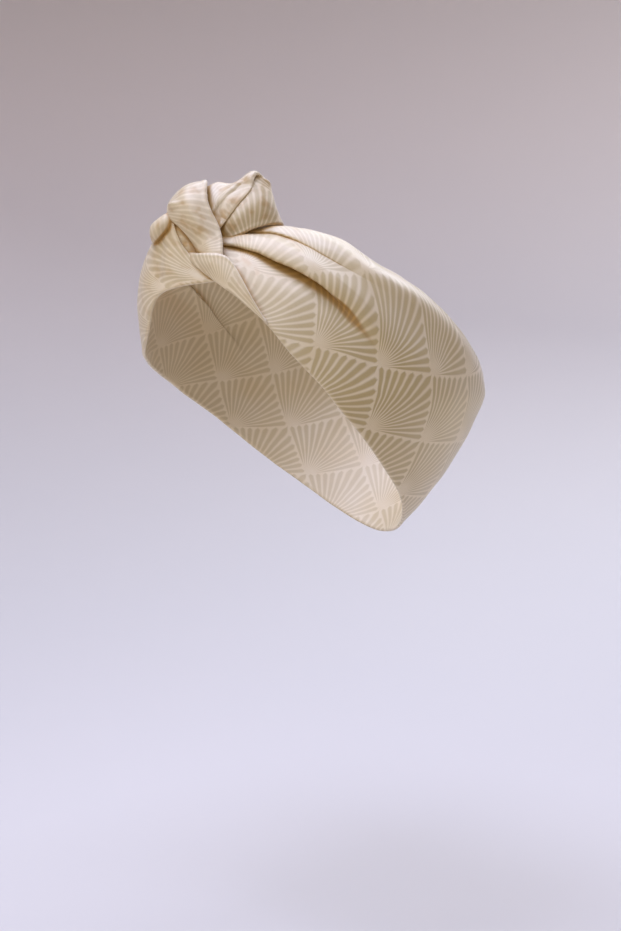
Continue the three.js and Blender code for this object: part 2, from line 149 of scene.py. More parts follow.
FARTHEST = 300.0
HALVINGS = 36


def ring_place(place):
    """Millimetres from (turn, lift, stand-off): from the ring centre along that direction to where the
    form level is 1, found by halving, and then on by the stand-off."""
    turn, lift, off = np.radians(place[..., 0]), np.radians(place[..., 1]), place[..., 2]
    tilt = np.radians(RING_TILT_DEG)
    along, rise = np.cos(lift) * np.cos(turn), np.sin(lift)
    aim = np.stack(
        [
            np.cos(lift) * np.sin(turn),
            rise * np.sin(tilt) - along * np.cos(tilt),
            along * np.sin(tilt) + rise * np.cos(tilt),
        ],
        axis=-1,
    )
    near, far = np.zeros(turn.shape), np.full(turn.shape, FARTHEST)
    for _ in range(HALVINGS):
        reach = (near + far) / 2
        at = np.asarray(RING_CENTRE) + aim * reach[..., None]
        inside = form_level(at[..., 0], at[..., 1], at[..., 2]) < 1
        near, far = np.where(inside, reach, near), np.where(inside, far, reach)
    return np.asarray(RING_CENTRE) + aim * (near + off)[..., None]


def soft_step(low, high, x):
    """Smooth rise from 0 at low to 1 at high: 3 f squared less 2 f cubed."""
    f = np.clip((x - low) / (high - low), 0, 1)
    return f * f * (3 - 2 * f)


def soft_fall(low, high, x):
    """Smooth fall from 1 at low to 0 at high."""
    return 1 - soft_step(low, high, x)


def bell(x, centre, width):
    """Bell of height 1: e to the minus square of the distance from its centre over its width."""
    return np.exp(-(((x - centre) / width) ** 2))


def run_length(points, axis):
    """Length along a grid direction from its first line, by adding up the straight steps."""
    steps = np.linalg.norm(np.diff(points, axis=axis), axis=-1)
    start = np.zeros_like(np.take(steps, [0], axis=axis))
    return np.concatenate([start, np.cumsum(steps, axis=axis)], axis=axis)


def face_normals(middle):
    """Unit normal at each grid point: the cross product of the two grid directions there."""
    along, over = np.gradient(middle, axis=0), np.gradient(middle, axis=1)
    normal = np.cross(along, over)
    return normal / np.maximum(np.linalg.norm(normal, axis=-1, keepdims=True), 1e-9)


EVENING_ROUNDS = 500


def hollow_depth(middle, normal):
    """How deep each grid point lies below its surroundings (mm), above 0 in a valley: the surface is evened
    out across the cloth by averaging each point with its two neighbours many times, and the way from the
    surface to that is measured along the normal."""
    even = middle.copy()
    for _ in range(EVENING_ROUNDS):
        even[:, 1:-1] = (even[:, :-2] + 2 * even[:, 1:-1] + even[:, 2:]) / 4
    return np.sum((even - middle) * normal, axis=-1)


# The turned edge swells this far in from the border and over this width, and the painted highlight on its
# rim is this wide (mm)
HEM_INSET = 1.5
HEM_WIDTH = 1.0
RIM_WIDTH = 0.9
# On the under side the print shows through weakly, and a hollow of the outer side is a faint ridge
UNDER_SIDE_SHOWN = 0.6
UNDER_SIDE_FOLD = -0.15
# Millimetres of cloth for one unit of its UV plane
CLOTH_UNIT = 100


def both_sides(values, under_share):
    """Values of the outer side's points, then those of the under side's own points times a share."""
    return np.concatenate([values.ravel(), under_share * values[1:-1, 1:-1].ravel()])


def point_values(mesh, name, values):
    """Stores one value for each mesh point under the name that the finish reads."""
    column = mesh.attributes.new(name, "FLOAT", "POINT")
    column.data.foreach_set("value", values.astype(np.float32))


def cloth_piece(name, middle, thick, cloth, hem_swell, shown, gathered, finish):
    """Closed double cloth from its middle surface (mm): each point goes half the thickness to both sides
    along its normal. Within half a thickness of the border the section is a half circle, and a little
    further in the turned edge swells. Border points belong to both sides, so there is no open rim. The
    mesh stores what the finish reads: nearness to the border, where a painted highlight lies on the rim;
    depth of the hollows (mm) and how far the cloth is gathered, which set the painted shade; and the share
    of the print that shows."""
    rows, lines = middle.shape[:2]
    from_front = run_length(middle, 1)
    to_border = np.minimum(from_front, from_front[:, -1:] - from_front)
    nearness = np.clip(to_border / (thick / 2), 0, 1)
    half = thick / 2 * np.sqrt(1 - (1 - nearness) ** 2)
    half = half * (1 + hem_swell * bell(to_border, HEM_INSET, HEM_WIDTH))
    half[0] = half[-1] = 0
    normal = face_normals(middle)
    top, under = middle + normal * half[..., None], middle - normal * half[..., None]
    upper = np.arange(rows * lines).reshape(rows, lines)
    lower = upper.copy()
    lower[1:-1, 1:-1] = rows * lines + np.arange((rows - 2) * (lines - 2)).reshape(rows - 2, lines - 2)
    points = np.concatenate([top.reshape(-1, 3), under[1:-1, 1:-1].reshape(-1, 3)]) * MM
    outside = [upper[:-1, :-1], upper[1:, :-1], upper[1:, 1:], upper[:-1, 1:]]
    inside = [lower[:-1, :-1], lower[:-1, 1:], lower[1:, 1:], lower[1:, :-1]]
    faces = np.concatenate([np.stack(outside, -1).reshape(-1, 4), np.stack(inside, -1).reshape(-1, 4)])
    mesh = bpy.data.meshes.new(name)
    mesh.from_pydata(points.tolist(), [], faces.tolist())
    plane = np.concatenate([cloth.reshape(-1, 2), cloth[1:-1, 1:-1].reshape(-1, 2)]) / CLOTH_UNIT
    unrolled = mesh.uv_layers.new(name="cloth")
    unrolled.data.foreach_set("uv", plane[faces.ravel()].astype(np.float32).ravel())
    gathered = np.broadcast_to(gathered, (rows, lines))
    shown = np.broadcast_to(shown, (rows, lines))
    # Nearness to the border sets the painted highlight on the rim; the hollows and the gathers set the
    # painted shade
    point_values(mesh, "hem", bell(both_sides(to_border, 1), 0, RIM_WIDTH))
    point_values(mesh, "fold", both_sides(hollow_depth(middle, normal), UNDER_SIDE_FOLD))
    point_values(mesh, "gathered", both_sides(gathered, 1))
    point_values(mesh, "shown", both_sides(shown, UNDER_SIDE_SHOWN))
    mesh.polygons.foreach_set("use_smooth", np.ones(len(faces), bool))
    mesh.materials.append(finish)
    mesh.update()
    piece = bpy.data.objects.new(name, mesh)
    bpy.context.collection.objects.link(piece)
    return piece


class Thread:
    """One socket of a finish; sums and products of threads and numbers add Math nodes to its tree."""

    def __init__(self, tree, socket):
        self.tree, self.socket = tree, socket

    def node(self, kind, settings, sockets, output=0):
        """Adds a node: its settings first, then a value or a link for each socket by name or number."""
        made = self.tree.nodes.new(kind)
        for key, value in settings.items():
            setattr(made, key, value)
        for key, value in sockets.items():
            if isinstance(value, Thread):
                self.tree.links.new(value.socket, made.inputs[key])
            else:
                made.inputs[key].default_value = value
        return Thread(self.tree, made.outputs[output])

    def math(self, operation, *values):
        """Adds a Math node that works on threads and numbers."""
        return self.node("ShaderNodeMath", {"operation": operation}, dict(enumerate(values)))

    def __add__(self, other):
        return self.math("ADD", self, other)

    __radd__ = __add__

    def __sub__(self, other):
        return self.math("SUBTRACT", self, other)

    def __rsub__(self, other):
        return self.math("SUBTRACT", other, self)

    def __mul__(self, other):
        return self.math("MULTIPLY", self, other)

    __rmul__ = __mul__

    def __truediv__(self, other):
        return self.math("DIVIDE", self, other)

    def ramp(self, low, high):
        """Smooth rise from 0 at low to 1 at high."""
        smooth = {"interpolation_type": "SMOOTHSTEP"}
        return self.node("ShaderNodeMapRange", smooth, {0: self, 1: low, 2: high})

    def blend(self, first, second, kind="MIX"):
        """Colour between two colours, with this value as the share of the second."""
        settings = {"data_type": "RGBA", "blend_type": kind}
        return self.node("ShaderNodeMix", settings, {0: self, 6: first, 7: second}, 2)

    def noise(self, scale, detail):
        """Soft noise between 0 and 1, read at the place that this thread gives."""
        return self.node("ShaderNodeTexNoise", {}, {"Vector": self, "Scale": scale, "Detail": detail})

    def coordinate(self, axis):
        """One coordinate of the place that this thread gives."""
        return self.node("ShaderNodeSeparateXYZ", {}, {0: self}, axis)

    def stored(self, name):
        """Value that the mesh stores for its points under a name."""
        return self.node("ShaderNodeAttribute", {"attribute_name": name}, {}, 2)


# Width of a fan and height from one row of fans to the next (mm), and petals in a fan
FAN_WIDTH = 53.5
FAN_ROW = 24.0
FAN_PETALS = 13
# A petal's width as a share of its pitch, the way from the corner on which it widens (mm), the softness of
# its edges, and the gap past its tip and the length of the tip's round (mm)
PETAL_SHARE = 0.63
PETAL_WIDENS = (1.5, 15.0)
PETAL_EDGE = (-0.32, 0.30)
TIP_GAP = 0.6
TIP_ROUND = 1.4


def fan_print(cloth_x, cloth_y):
    """Share of ink at a place of the cloth plane (mm). The plane is cut into wide rhombs, each row half a
    width off the next; rise and fall go from 0 to 1 along a rhomb's two near sides. In each, petals fan out
    from the near corner over the whole angle there, widen from it and end round just short of the two far
    sides: the ink is whole where the petal's half width is well over the distance from its spine."""
    rise = cloth_x.math("FRACT", cloth_x / FAN_WIDTH + cloth_y / (2 * FAN_ROW))
    fall = cloth_x.math("FRACT", cloth_y / (2 * FAN_ROW) - cloth_x / FAN_WIDTH)
    side = (rise - fall) * (FAN_WIDTH / 2)
    out = (rise + fall) * FAN_ROW
    reach = side.math("SQRT", side * side + out * out)
    spread = 2 * np.arctan2(FAN_WIDTH / 2, FAN_ROW)
    turn = side.math("ARCTAN2", side, out)
    petal = turn.math("FRACT", turn * (FAN_PETALS / spread) + FAN_PETALS / 2)
    from_spine = petal.math("ABSOLUTE", petal - 0.5) * 2
    rhomb_height = FAN_WIDTH * FAN_ROW / np.hypot(FAN_WIDTH / 2, FAN_ROW)
    to_far_side = rise.math("MINIMUM", 1 - rise, 1 - fall) * rhomb_height
    tip = to_far_side.math("MAXIMUM", (to_far_side - TIP_GAP) / TIP_ROUND, 0.0)
    round_tip = tip.math("SQRT", tip.math("MINIMUM", tip, 1.0))
    width = round_tip * reach.ramp(*PETAL_WIDENS) * PETAL_SHARE
    return (width - from_spine).ramp(*PETAL_EDGE)


CREAM = (0.76, 0.67, 0.508, 1)
CREAM_WARM = (0.74, 0.632, 0.447, 1)
BEIGE = (0.425, 0.325, 0.130, 1)
BEIGE_PALE = (0.470, 0.366, 0.165, 1)
# Painted highlight on the hem's rim, and the painted shade of hollows, gathers and overlaid cloth
RIM_HIGHLIGHT = (0.82, 0.74, 0.60, 1)
FOLD_SHADE = (0.66, 0.46, 0.19, 1)
# Scale and detail of each noise, and where it goes over from one tone to the other
DRIFT_NOISE = (9.0, 2.0)
PATCH_NOISE = (3.0, 3.0)
PATCH_EDGE = (0.35, 0.68)
# The clouds are those of the painted shade in gathers
CLOUD_NOISE = (13.0, 2.0)
CLOUD_EDGE = (0.46, 0.70)
SLUB_NOISE = (130.0, 2.0)
SLUB_EDGE = (0.3, 0.7)
# Range of the print's drift along and across (mm), and the ink's strength, even and with the slubs
PRINT_DRIFT = (1.0, 0.8)
INK_EVEN = 0.80
INK_SLUBBED = 0.2
# Depth of a hollow over which the painted fold shade sets in (mm), the painted shade's share in gathers,
# even and in clouds, and the share of the painted highlight on the hem's rim
HOLLOW_SHADED = (0.1, 2.0)
GATHER_SHADE_EVEN = 0.1
GATHER_SHADE_CLOUDED = 0.9
RIM_HIGHLIGHT_SHARE = 0.3
# Thread pitch (mm), shares of weave, slubs and ink in the relief, and the relief's strength and depth (m)
THREAD_PITCH = 0.55
WEAVE_RELIEF = 0.35
SLUB_RELIEF = 0.9
INK_RELIEF = 0.5
RELIEF_STRENGTH = 0.35
RELIEF_DEPTH = 0.00012
# The ink is smoother and glossier than the ground, and slubs are rougher
GROUND_ROUGHNESS = 0.42
INK_SMOOTHER = 0.04
SLUB_ROUGHER = 0.10
GROUND_COAT = 0.15
INK_COAT = 0.70
SATIN_GLOSS = {
    "Sheen Weight": 0.15,
    "Sheen Roughness": 0.45,
    "Sheen Tint": (0.93, 0.97, 1.0, 1),
    "Specular IOR Level": 0.6,
    "Coat Roughness": 0.52,
    "Coat IOR": 1.6,
}


def printed_cloth():
    """Cream satin with the fan print in beige. Noise gives the print's drift, the patches of the dye and the
    slubs; a sine along times a sine across gives the weave. As painted shade, where the cloth is hollow,
    gathered or overlaid its colour is multiplied by the warm fold shade, in gathers by clouds of it; as a
    painted highlight, the hem's rim is paler."""
    finish = bpy.data.materials.new("printed_cloth")
    finish.use_nodes = True
    tree = finish.node_tree
    shader = tree.nodes["Principled BSDF"]
    start = Thread(tree, None)
    flat = start.node("ShaderNodeUVMap", {"uv_map": "cloth"}, {})
    drift = flat.noise(*DRIFT_NOISE) - 0.5
    cloth_x = flat.coordinate(0) * CLOTH_UNIT + drift * PRINT_DRIFT[0]
    cloth_y = flat.coordinate(1) * CLOTH_UNIT + drift * PRINT_DRIFT[1]
    stripe = fan_print(cloth_x, cloth_y) * start.stored("shown")
    slub = flat.noise(*SLUB_NOISE)
    ground = flat.noise(*PATCH_NOISE).ramp(*PATCH_EDGE).blend(CREAM, CREAM_WARM)
    ink = slub.ramp(*SLUB_EDGE).blend(BEIGE, BEIGE_PALE)
    dyed = (stripe * (INK_EVEN + INK_SLUBBED * slub)).blend(ground, ink)
    # Painted shade: the warm fold shade multiplies the colour in hollows, in clouds where gathered, and where
    # cloth lies over cloth
    hollow = start.stored("fold").ramp(*HOLLOW_SHADED)
    shade_clouds = GATHER_SHADE_EVEN + flat.noise(*CLOUD_NOISE).ramp(*CLOUD_EDGE) * GATHER_SHADE_CLOUDED
    depth = start.math("MAXIMUM", hollow, start.stored("gathered") * shade_clouds)
    depth = start.math("MAXIMUM", depth, start.stored("overlaid"))
    deep = depth.blend(dyed, FOLD_SHADE, "MULTIPLY")
    # Painted highlight: the hem's rim is paler
    rim_lit = (start.stored("hem") * RIM_HIGHLIGHT_SHARE).blend(deep, RIM_HIGHLIGHT)
    threads = 2 * np.pi / THREAD_PITCH
    weave = start.math("SINE", cloth_x * threads) * start.math("SINE", cloth_y * threads)
    relief = weave * WEAVE_RELIEF + slub * SLUB_RELIEF + stripe * INK_RELIEF
    relief_depth = {"Strength": RELIEF_STRENGTH, "Distance": RELIEF_DEPTH, "Height": relief}
    bump = start.node("ShaderNodeBump", {}, relief_depth)
    roughness = GROUND_ROUGHNESS - stripe * INK_SMOOTHER + slub * SLUB_ROUGHER
    coat = GROUND_COAT + stripe * INK_COAT
    tree.links.new(rim_lit.socket, shader.inputs["Base Color"])
    tree.links.new(roughness.socket, shader.inputs["Roughness"])
    tree.links.new(coat.socket, shader.inputs["Coat Weight"])
    tree.links.new(bump.socket, shader.inputs["Normal"])
    for socket, value in SATIN_GLOSS.items():
        shader.inputs[socket].default_value = value
    return finish


# Half width of a crease's turn and width of the soft roll, as shares of the band's width
FOLD_HALF = 0.036
BACK_ROLL_WIDTH = 0.11
# In half widths of the turn: the tuck that a crease takes up in place, start and end of a lip's rise, and
# middle and width of the hollow below each lip
TUCK_IN_PLACE = 0.7
LIP_RISE = (-0.9, 1.7)
LOWER_HOLLOW = (-1.6, 2.4)
UPPER_HOLLOW = (-2.0, 1.4)
# The upper hollow's depth as a share of its lip, the factor that brings the peak of x e to the minus x
# squared to 1, and how much steeper than a straight line to the next crease each lip falls away
UPPER_HOLLOW_SHARE = 0.12
TUCK_FACTOR = 2.33
LOWER_LIP_FALL = 1.6
UPPER_LIP_FALL = 1.4


def band_surface(s, tau):
    """Middle surface of the band, and the place across it. Tau runs over the cloth from the front edge to
    the back edge. At a crease the place across the band runs on past the crease, back under the lip and on
    again (tau less a tuck times x e to the minus x squared), while the stand-off climbs from the lower
    layer to the lip and then falls away to nothing at the next crease."""
    station = through_rows(BAND_STATIONS, s)
    pleats = np.moveaxis(np.maximum(through_rows(BAND_PLEATS, s), 0), -1, 0)
    low, low_lip, low_tuck, hollow, high, high_lip, high_tuck, roll_place, roll = pleats
    front, back = ring_place(station[..., 0:3]), ring_place(station[..., 6:9])
    width = np.linalg.norm(front - back, axis=-1)
    low_tuck, high_tuck = low_tuck / width, high_tuck / width
    low_mid = low + np.maximum(low_tuck - TUCK_IN_PLACE * FOLD_HALF, 0)
    high_mid = high + np.maximum(high_tuck - TUCK_IN_PLACE * FOLD_HALF, 0)
    x_low, x_high = (tau - low_mid) / FOLD_HALF, (tau - high_mid) / FOLD_HALF
    tucked = low_tuck * x_low * np.exp(-x_low**2) + high_tuck * x_high * np.exp(-x_high**2)
    place = tau - TUCK_FACTOR * tucked
    lower_fall = np.clip((high_mid - tau) / (high_mid - low_mid) * LOWER_LIP_FALL, 0, 1)
    upper_fall = np.clip((1 - tau) / (1 - high_mid) * UPPER_LIP_FALL, 0, 1)
    lower = low_lip * soft_step(*LIP_RISE, x_low) * lower_fall
    upper = high_lip * soft_step(*LIP_RISE, x_high) * upper_fall
    dip = hollow * bell(x_low, *LOWER_HOLLOW) + UPPER_HOLLOW_SHARE * high_lip * bell(x_high, *UPPER_HOLLOW)
    swell = roll * bell(place, roll_place, BACK_ROLL_WIDTH)
    spot = across_station(station, place)
    spot[..., 2] += lower + upper + swell - dip
    return ring_place(spot), place


# Three waves: millimetres to the radian along and across the strip, their shares and shifts (radians), and
# how far the first one sways (radians), with the sway's own millimetres to the radian
WAVES_ALONG = (5.9, 9.7, 3.1)
WAVES_ACROSS = (7.3, 4.1, 8.3)
WAVE_SHARES = (1.0, 0.8, 0.7)
WAVE_SHIFTS = (0.8, 2.0, 0.0)
SWAY = 1.7
SWAY_ACROSS = 9.5


def crumpled(middle, plane, height):
    """Soft unevenness of worn cloth: three crossed waves of the cloth plane, 19 to 61 mm long, added by their
    shares and laid on along the normal. The height is that of all three crests together."""
    x, y = plane[..., 0], plane[..., 1]
    first = np.sin(x / WAVES_ALONG[0] + SWAY * np.sin(y / SWAY_ACROSS))
    first = first * np.sin(y / WAVES_ACROSS[0] + WAVE_SHIFTS[0])
    second = np.sin(x / WAVES_ALONG[1] - y / WAVES_ACROSS[1] + WAVE_SHIFTS[1])
    third = np.sin(x / WAVES_ALONG[2] + y / WAVES_ACROSS[2] + WAVE_SHIFTS[2])
    waves = WAVE_SHARES[0] * first + WAVE_SHARES[1] * second + WAVE_SHARES[2] * third
    return middle + face_normals(middle) * (height / sum(WAVE_SHARES) * waves)[..., None]


# Lines of the grid along the near side, the back and the far side, and across between edges and creases,
# with the rows where the pitch changes; lines come closer toward the edges by a power
BAND_LINES_ALONG = (170, 60, 120)
BAND_LINES_ACROSS = (18, 26, 10, 26, 18)
NEAR_SIDE_END = 10
FAR_SIDE_START = 16
CREASE_REACH = 2.5 * FOLD_HALF
EDGE_POWER = 1.8
along = np.concatenate(
    [
        np.linspace(0, NEAR_SIDE_END, BAND_LINES_ALONG[0], endpoint=False),
        np.linspace(NEAR_SIDE_END, FAR_SIDE_START, BAND_LINES_ALONG[1], endpoint=False),
        np.linspace(FAR_SIDE_START, len(BAND_STATIONS) - 1, BAND_LINES_ALONG[2]),
    ]
)
creases = through_rows(BAND_PLEATS, along)[:, [0, 4]]
corners = [
    0 * along,
    creases[:, 0] - CREASE_REACH,
    creases[:, 0] + CREASE_REACH,
    creases[:, 1] - CREASE_REACH,
    creases[:, 1] + CREASE_REACH,
    0 * along + 1,
]
shares = [np.arange(count) / count for count in BAND_LINES_ACROSS]
shares[0] = shares[0] ** EDGE_POWER
shares[-1] = 1 - (1 - shares[-1]) ** EDGE_POWER
spans = [a[:, None] + (b - a)[:, None] * share for a, b, share in zip(corners[:-1], corners[1:], shares)]
tau = np.concatenate(spans + [np.ones((len(along), 1))], axis=1)
band_middle, band_place = band_surface(along[:, None] + 0 * tau, tau)


def nearest(values, wanted):
    """Index of the value that is closest to the one wanted."""
    return int(np.argmin(np.abs(values - wanted)))


# The print lies on the flat strip, whose lengths along and across are read at the place where each point of
# the pleated cloth really lies, so it runs straight up to the lip of a crease
PRINT_LINES = 121
BACK_ROW = 12
even = np.linspace(0, 1, PRINT_LINES)[None, :] + 0 * along[:, None]
flat_middle = ring_place(across_station(through_rows(BAND_STATIONS, along[:, None] + 0 * even), even))
flat_x, flat_y = run_length(flat_middle, 0), run_length(flat_middle, 1)
flat_x = flat_x - flat_x[nearest(along, BACK_ROW)]
line = np.clip(band_place, 0, 1) * (PRINT_LINES - 1)
lower_line = np.minimum(line.astype(int), PRINT_LINES - 2)
beyond = line - lower_line


def read_flat(lengths):
    """Length on the flat strip at each point's place: those at the lines below and above it, by shares."""
    below = np.take_along_axis(lengths, lower_line, 1)
    above = np.take_along_axis(lengths, lower_line + 1, 1)
    return below * (1 - beyond) + above * beyond


band_x, band_y = read_flat(flat_x), read_flat(flat_y)
# The strip was folded a little off the straight, so the print runs aslant past the row where the pleats end,
# and it creeps toward the knot and the front edge where the cloth is gathered
PRINT_SHIFT = (12.8, -12.0)
PRINT_SLANT = 0.115
SLANT_FROM_ROW = 6.4
SLANT_SETS_IN = (0, 40)
SLANT_PIVOT = 20
KNOT_END_CREEP = (6.8, 4.7)
CREEP_ROWS_ALONG = (2, 6)
CREEP_ROWS_ACROSS = (4, 6.5)
past = band_x - band_x[nearest(along, SLANT_FROM_ROW)]
slant = PRINT_SLANT * soft_step(*SLANT_SETS_IN, past)
creep_x = KNOT_END_CREEP[0] * soft_fall(*CREEP_ROWS_ALONG, along)[:, None]
creep_y = KNOT_END_CREEP[1] * soft_fall(*CREEP_ROWS_ACROSS, along)[:, None]
slanted_x = band_x + creep_x - slant * (band_y - SLANT_PIVOT)
slanted_y = band_y + creep_y + slant * past
band_cloth = np.stack([slanted_x, slanted_y], -1) + np.asarray(PRINT_SHIFT)


def turned(x, y, turn_deg):
    """Points of a plane turned about its origin: x cosine less y sine, and x sine plus y cosine."""
    turn = np.radians(turn_deg)
    return np.stack([x * np.cos(turn) - y * np.sin(turn), x * np.sin(turn) + y * np.cos(turn)], -1)


# Past this row the far end spreads from one point at the knot, so its cloth plane is unrolled round that
# point, by the steps of one line across, and turned; the print fades out where the two planes meet
FAN_START = 18.1
FAN_LINE = 0.3
FAN_FADE = 7.0
FAN_CORNER = (33.5, 19.3)
FAN_PRINT_TURN_DEG = -146.6
fan = nearest(along, FAN_START)
fan_line = nearest(tau[-1], FAN_LINE)
fan_reach = band_y[fan:, -1:] - band_y[fan:]
steps = np.linalg.norm(np.diff(band_middle[fan:, fan_line], axis=0), axis=-1)
fan_turn = np.concatenate([[0], np.cumsum(steps / fan_reach[1:, fan_line])])[:, None]
fan_x = fan_reach * np.sin(fan_turn) - FAN_CORNER[0]
fan_y = -fan_reach * np.cos(fan_turn) - FAN_CORNER[1]
band_cloth[fan:] = turned(fan_x, fan_y, FAN_PRINT_TURN_DEG)
# The print is weaker toward both ends and on the roll at the back; toward the knot and on the roll this is
# a painted sheen, the gloss washing the print out where the top light falls
KNOT_END_SHOWN = 0.45
FAR_END_SHOWN = 0.6
SHOWN_ROWS = [4.0, 9.0, 17, 19]
BACK_ROLL_SHOWN = 0.72
ROLLED_PLACES = (0.45, 0.75)
ROLLED_ROWS = (8, 11)
shown_along = np.interp(along, SHOWN_ROWS, [KNOT_END_SHOWN, 1, 1, FAR_END_SHOWN])
rolled = soft_step(*ROLLED_PLACES, tau) * soft_fall(*ROLLED_ROWS, along)[:, None]
band_shown = 1 - bell(band_x, band_x[fan], FAN_FADE)
band_shown = band_shown * shown_along[:, None] * (1 - (1 - BACK_ROLL_SHOWN) * rolled)
# A groove runs down the far end below the knot: its row position at places across, its depth (mm), its width
# in rows, and the places where it sets in and runs out
GROOVE_PLACES = [0.167, 0.25, 0.367, 0.483, 0.6, 0.7]
GROOVE_ROWS = [21.4, 21.6, 21.8, 21.95, 22.1, 22.05]
GROOVE_DEPTH = 1.4
GROOVE_WIDTH = 0.3
GROOVE_SETS_IN = (0.02, 0.2)
GROOVE_RUNS_OUT = (0.6, 0.8)
groove = GROOVE_DEPTH * bell(along[:, None], np.interp(tau, GROOVE_PLACES, GROOVE_ROWS), GROOVE_WIDTH)
groove = groove * soft_step(*GROOVE_SETS_IN, tau) * soft_fall(*GROOVE_RUNS_OUT, tau)
band_middle = band_middle - face_normals(band_middle) * groove[..., None]
BAND_UNEVENNESS = 0.3
band_middle = crumpled(band_middle, np.stack([band_x, band_y], -1), BAND_UNEVENNESS)
# Painted shade in warm clouds toward both ends, where the cloth is drawn together, over these rows
BAND_GATHER_SHADE = 0.05
FAR_END_GATHER_SHADE = 0.3
FAR_END_ROWS = (19, 21)
KNOT_END_GATHER_SHADE = 0.5
KNOT_END_ROWS = (2, 7)
band_gather_shade = BAND_GATHER_SHADE + FAR_END_GATHER_SHADE * soft_step(*FAR_END_ROWS, along)[:, None]
band_gather_shade = band_gather_shade + KNOT_END_GATHER_SHADE * soft_fall(*KNOT_END_ROWS, along)[:, None]
cloth_finish = printed_cloth()
band = cloth_piece(
    "band_cloth",
    band_middle,
    BAND_THICK,
    band_cloth,
    hem_swell=0.35,
    shown=band_shown,
    gathered=band_gather_shade,
    finish=cloth_finish,
)
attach(band, "root")
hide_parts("band")

# Front cuff. The same cloth: its folded front edge is turned back over the band below the knot, so a
# narrow second layer lies along the near front edge and runs out to nothing. It is only folded.
CUFF_THICK = 1.2
# Columns: as the band's stations
CUFF_STATIONS = [
    [6.2, -9.2, 10.7, 6.2, -9.0, 10.9, 6.2, -8.8, 11.0],
    [10.1, -11.4, 8.6, 10.8, -10.2, 10.8, 11.4, -8.8, 11.6],
    [13.8, -12.5, 6.4, 13.6, -10.6, 10.4, 13.4, -8.5, 12.0],
    [18, -13.6, 5.0, 17, -10.9, 10, 15.8, -8.0, 12.0],
    [22, -14.6, 4.3, 20.2, -11, 8.8, 18.2, -7.2, 11.2],
    [25.9, -15.4, 3.9, 23.3, -11.6, 7.2, 20.6, -7.4, 9.6],
    [29.9, -16.5, 3.5, 27.4, -13.4, 5.6, 24.8, -10, 6.6],
    [33.6, -17.4, 3.4, 32.3, -15.8, 4.6, 31, -14.2, 5.1],
    [37.7, -18.4, 3.3, 37.2, -18, 3.8, 36.6, -17.6, 4.1],
]
EDGE_CROWDING = 0.6
CUFF_PRINT_START = 70.0
CUFF_PRINT_TURN_DEG = -45.0


def grid_lines(stations, rows, lines):
    """Row positions along a table and places across it, drawn closer toward both edges by a sine."""
    u = np.linspace(0, 1, lines)
    u = u - EDGE_CROWDING * np.sin(2 * np.pi * u) / (2 * np.pi)
    return np.meshgrid(np.linspace(0, len(stations) - 1, rows), u, indexing="ij")


s, t = grid_lines(CUFF_STATIONS, rows=120, lines=40)
cuff_middle = ring_place(across_station(through_rows(CUFF_STATIONS, s), t))
cuff_x, cuff_y = run_length(cuff_middle, 0) - CUFF_PRINT_START, run_length(cuff_middle, 1)
cuff = cloth_piece(
    "front_cuff_cloth",
    cuff_middle,
    CUFF_THICK,
    turned(cuff_x, cuff_y, CUFF_PRINT_TURN_DEG),
    hem_swell=0.5,
    shown=0.55,
    # The gathered share is that of the painted shade in warm clouds
    gathered=0.25,
    finish=cloth_finish,
)
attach(cuff, "root")
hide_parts("front_cuff")

# Knot core. The two gathered ends of the strip twisted together inside the knot, a dense bundle of the
# same cloth that shows only between the layers round it. It is drawn tight by the strap.
KNOT_CENTRE = (10.0, -70.0, 88.0)
KNOT_TURN_DEG = 58.0
CORE_CENTRE = (-5.0, 2.0, -1.0)
CORE_HALF = (12.4, 14.4, 11.4)
CORE_GATHERS = 9
CORE_GATHER_DEPTH = 0.9
CORE_TWIST = 1.3
CORE_LINES = (60, 120)
POLE_GAP = 0.02
# Millimetres of cloth for each radian from pole to pole and around
CORE_PRINT = (14, 13)


def knot_place(place):
    """Millimetres from (across, up, out) of the knot: the across axis is turned about the vertical."""
    turn = np.radians(KNOT_TURN_DEG)
    x = place[..., 0] * np.cos(turn) + place[..., 2] * np.sin(turn)
    y = place[..., 0] * np.sin(turn) - place[..., 2] * np.cos(turn)
    return np.asarray(KNOT_CENTRE) + np.stack([x, y, place[..., 1]], -1)


def ring_faces(rows, lines):
    """Numbers of the points of closed rings, row by row, and the four-cornered faces between the rows."""
    ids = np.arange(rows * lines).reshape(rows, lines)
    around = np.roll(ids, -1, axis=1)
    return ids, np.stack([ids[:-1], ids[1:], around[1:], around[:-1]], -1).reshape(-1, 4)


# An egg whose section is rippled by the gathers, which twist from pole to pole
polar, lap = np.meshgrid(
    np.linspace(POLE_GAP, np.pi - POLE_GAP, CORE_LINES[0]),
    np.linspace(0, 2 * np.pi, CORE_LINES[1], endpoint=False),
    indexing="ij",
)
ripple = CORE_GATHER_DEPTH / CORE_HALF[2] * np.cos(CORE_GATHERS * lap + CORE_TWIST * np.cos(polar))
gather = 1 + ripple * np.sin(polar)
egg = np.stack(
    [
        CORE_CENTRE[0] + CORE_HALF[0] * np.cos(polar),
        CORE_CENTRE[1] + CORE_HALF[1] * np.sin(polar) * np.cos(lap) * gather,
        CORE_CENTRE[2] + CORE_HALF[2] * np.sin(polar) * np.sin(lap) * gather,
    ],
    -1,
)
core_points = knot_place(egg)
ids, core_faces = ring_faces(*CORE_LINES)
core_ends = [ids[0].tolist(), ids[-1][::-1].tolist()]
core_mesh = bpy.data.meshes.new("knot_core_cloth")
core_mesh.from_pydata((core_points.reshape(-1, 3) * MM).tolist(), [], core_faces.tolist() + core_ends)
core_uv = np.stack([polar * CORE_PRINT[0], lap * CORE_PRINT[1]], -1).reshape(-1, 2) / CLOTH_UNIT
corner_ids = np.zeros(len(core_mesh.loops), int)
core_mesh.loops.foreach_get("vertex_index", corner_ids)
